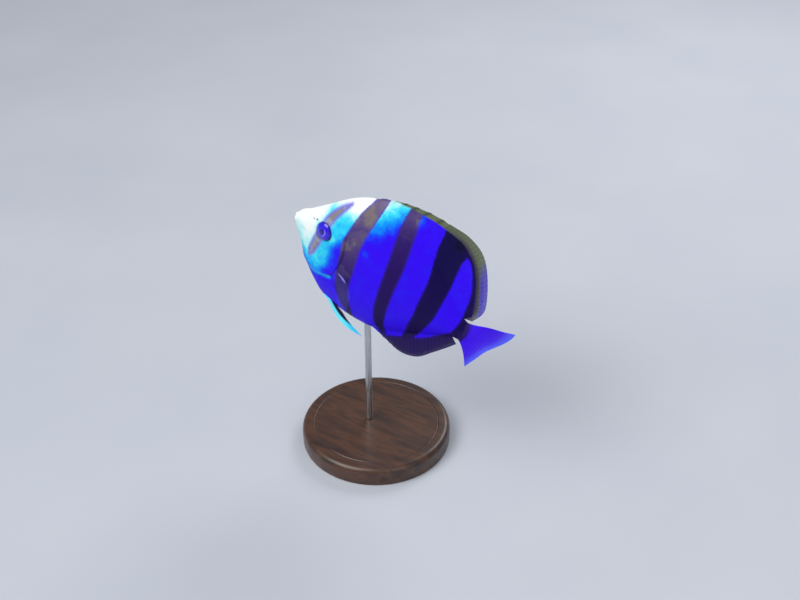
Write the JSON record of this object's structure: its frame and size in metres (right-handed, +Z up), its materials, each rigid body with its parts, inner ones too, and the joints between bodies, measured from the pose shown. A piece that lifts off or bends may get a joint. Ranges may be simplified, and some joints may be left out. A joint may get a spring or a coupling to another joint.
{
  "type": "ocellated butterflyfish model on stand",
  "caption": "Life-size still model of a deep-bodied, barred butterflyfish with raised head and turned tail fin, held over a round base by one rod.",
  "frame": {"origin": "centre of the underside of the stand's base", "axes": "+Z up; +X from the fish's head towards its tail; -Y is the fish's left side"},
  "size_m": [0.1395, 0.092, 0.1725],
  "materials": {
    "scaled_skin": "silvery white scaled skin with tan, brown and black bars, satin gloss",
    "dorsal_and_anal_membrane": "scaled fin with olive yellow edge, satin",
    "clear_membrane": "thin clear membrane between pale rays",
    "pelvic_membrane": "white leading rays before a dark membrane",
    "eye": "wet, high gloss",
    "base_wood": "dark stained hardwood under satin lacquer",
    "rod_steel": "fine brushed"
  },
  "bodies": {
    "root": {"head": "scaled_skin", "trunk": "scaled_skin", "tail_stalk": "scaled_skin", "dorsal_fin": "dorsal_and_anal_membrane", "anal_fin": "dorsal_and_anal_membrane", "caudal_fin": "clear_membrane", "pectoral_fin_left": "clear_membrane", "pectoral_fin_right": "clear_membrane", "pelvic_fin_left": "pelvic_membrane", "pelvic_fin_right": "pelvic_membrane", "eye_left": "eye", "eye_right": "eye", "stand_base": "base_wood", "stand_rod": "rod_steel"}
  },
  "joints": []
}
